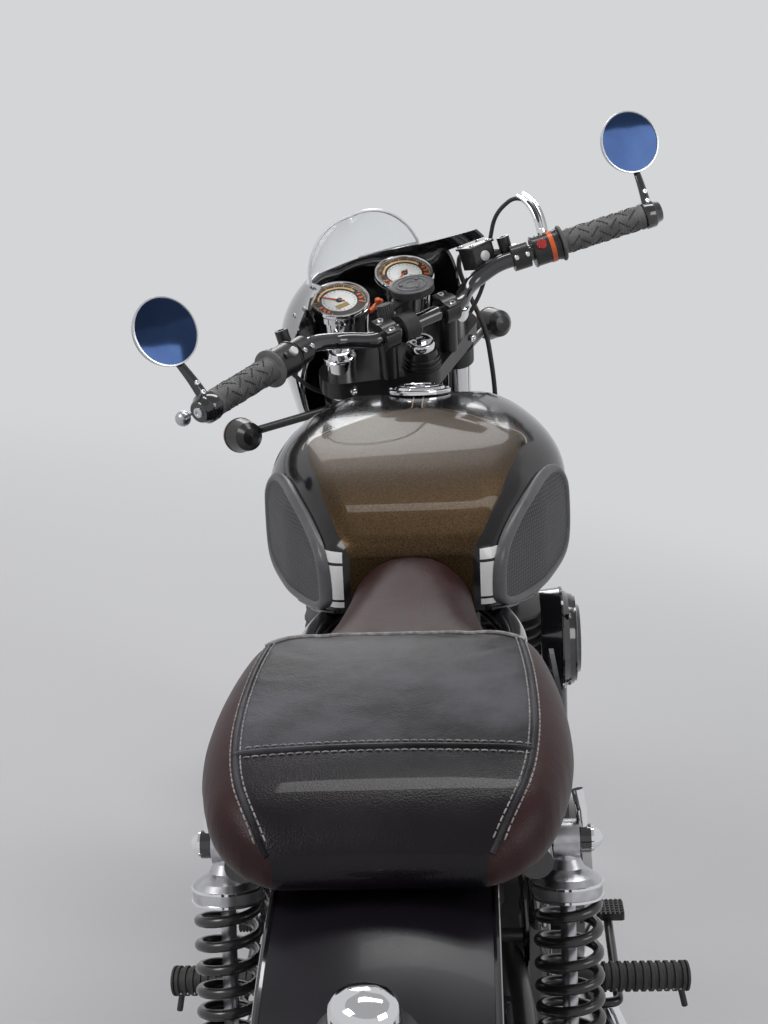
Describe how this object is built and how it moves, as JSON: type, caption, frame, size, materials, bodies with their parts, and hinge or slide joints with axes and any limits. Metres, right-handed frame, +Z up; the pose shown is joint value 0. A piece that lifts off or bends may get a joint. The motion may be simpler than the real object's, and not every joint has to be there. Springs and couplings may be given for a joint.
{
  "type": "cafe racer motorcycle",
  "caption": "Twin-cylinder cafe racer motorcycle leaning on its side stand with the bars at full left lock, with turning steering, rolling wheels and a folding stand.",
  "frame": {"origin": "middle of the bounding box on the floor", "axes": "+X forward along the machine, +Y to its left, +Z up from the floor; the machine leans 12.5 degrees to its left on the side stand and its steering rests on the left stop"},
  "size_m": [2.0914, 0.7692, 1.2739],
  "materials": {
    "tyre_black": "satin rubber with road tread",
    "wheel_black": "gloss black rim and hub, bright spokes",
    "disc_steel": "ground steel",
    "frame_black": "gloss black enamel",
    "axle_steel": "satin plated steel",
    "chain_steel": "oiled steel",
    "engine_black": "satin black coated casting",
    "cover_black": "gloss black coated casting",
    "rubber_black": "matt rubber",
    "exhaust_chrome": "polished chrome",
    "tank_bronze": "bronze metal-flake top with black sides, white stripes",
    "cap_chrome": "polished chrome",
    "pad_grey": "grey rubber with a raised border",
    "seat_leather": "black top panel and brown sides with grey seams",
    "panel_black": "gloss black",
    "fender_black": "gloss black enamel",
    "lens_dark": "dark smoked lens",
    "plate_white": "blank plate",
    "signal_black": "black bullet body with amber lens",
    "damper_satin": "satin alloy",
    "spring_black": "black painted wire",
    "caliper_grey": "satin grey casting",
    "peg_rubber": "ribbed rubber",
    "steel_black": "satin black steel",
    "slider_alloy": "satin alloy",
    "fork_chrome": "hard chrome",
    "lamp_black": "gloss black shell, chrome rim, clear lens",
    "cowl_black": "dark gloss",
    "screen_clear": "clear acrylic with a bright edge",
    "gauge_chrome": "chrome bezels with plain cream and brown dials",
    "grip_grey": "grey ribbed rubber",
    "control_black": "satin black casting",
    "lever_silver": "polished alloy",
    "mirror_black": "black housing with mirror glass",
    "puck_black": "matt black"
  },
  "bodies": {
    "chassis": {"frame": "frame_black", "swingarm": "frame_black", "rear_axle": "axle_steel", "chain": "chain_steel", "crankcase": "engine_black", "cylinders": "engine_black", "cylinder_head": "engine_black", "engine_covers": "cover_black", "intake": "rubber_black", "exhaust_left": "exhaust_chrome", "exhaust_right": "exhaust_chrome", "fuel_tank": "tank_bronze", "fuel_cap": "cap_chrome", "knee_pads": "pad_grey", "seat": "seat_leather", "side_covers": "panel_black", "rear_fender": "fender_black", "tail_light": "lens_dark", "plate_holder": "plate_white", "rear_signals": "signal_black", "shock_dampers": "damper_satin", "shock_springs": "spring_black", "rear_caliper": "caliper_grey", "rider_pegs": "peg_rubber", "foot_controls": "steel_black"},
    "steering": {"triple_clamps": "steel_black", "fork_tubes": "fork_chrome", "fork_gaiters": "rubber_black", "fork_sliders": "slider_alloy", "front_axle": "axle_steel", "front_fender": "fender_black", "front_caliper": "caliper_grey", "headlight": "lamp_black", "cowl": "cowl_black", "windscreen": "screen_clear", "gauges": "gauge_chrome", "handlebar": "steel_black", "grips": "grip_grey", "controls": "control_black", "levers": "lever_silver", "mirrors": "mirror_black", "front_signals": "signal_black", "phone_mount": "puck_black", "brake_hose": "rubber_black", "clutch_cable": "rubber_black", "throttle_cable": "rubber_black"},
    "front_wheel_set": {"front_tyre": "tyre_black", "front_wheel": "wheel_black", "front_disc": "disc_steel"},
    "rear_wheel_set": {"rear_tyre": "tyre_black", "rear_wheel": "wheel_black", "rear_disc": "disc_steel", "rear_sprocket": "chain_steel"},
    "stand": {"side_stand": "steel_black"}
  },
  "joints": [
    {"name": "steering_turn", "type": "hinge", "parent": "chassis", "child": "steering", "pos_m": [0.86929, -0.15895, 0], "axis": [-0.4384, 0.1945, 0.8775], "range_deg": [-73, 0]},
    {"name": "front_wheel_spin", "type": "hinge", "parent": "steering", "child": "front_wheel_set", "pos_m": [0.76872, -0.06055, 0.29268], "axis": [-0.5346, 0.7284, -0.4286], "continuous": true},
    {"name": "rear_wheel_spin", "type": "hinge", "parent": "chassis", "child": "rear_wheel_set", "pos_m": [-0.68971, -0.08662, 0.32626], "axis": [0, 0.9763, -0.2164], "continuous": true},
    {"name": "side_stand_fold", "type": "hinge", "parent": "chassis", "child": "stand", "pos_m": [-0.08971, 0.03416, 0.12722], "axis": [0.0646, 0.8302, 0.5538], "range_deg": [0, 112.51]}
  ]
}
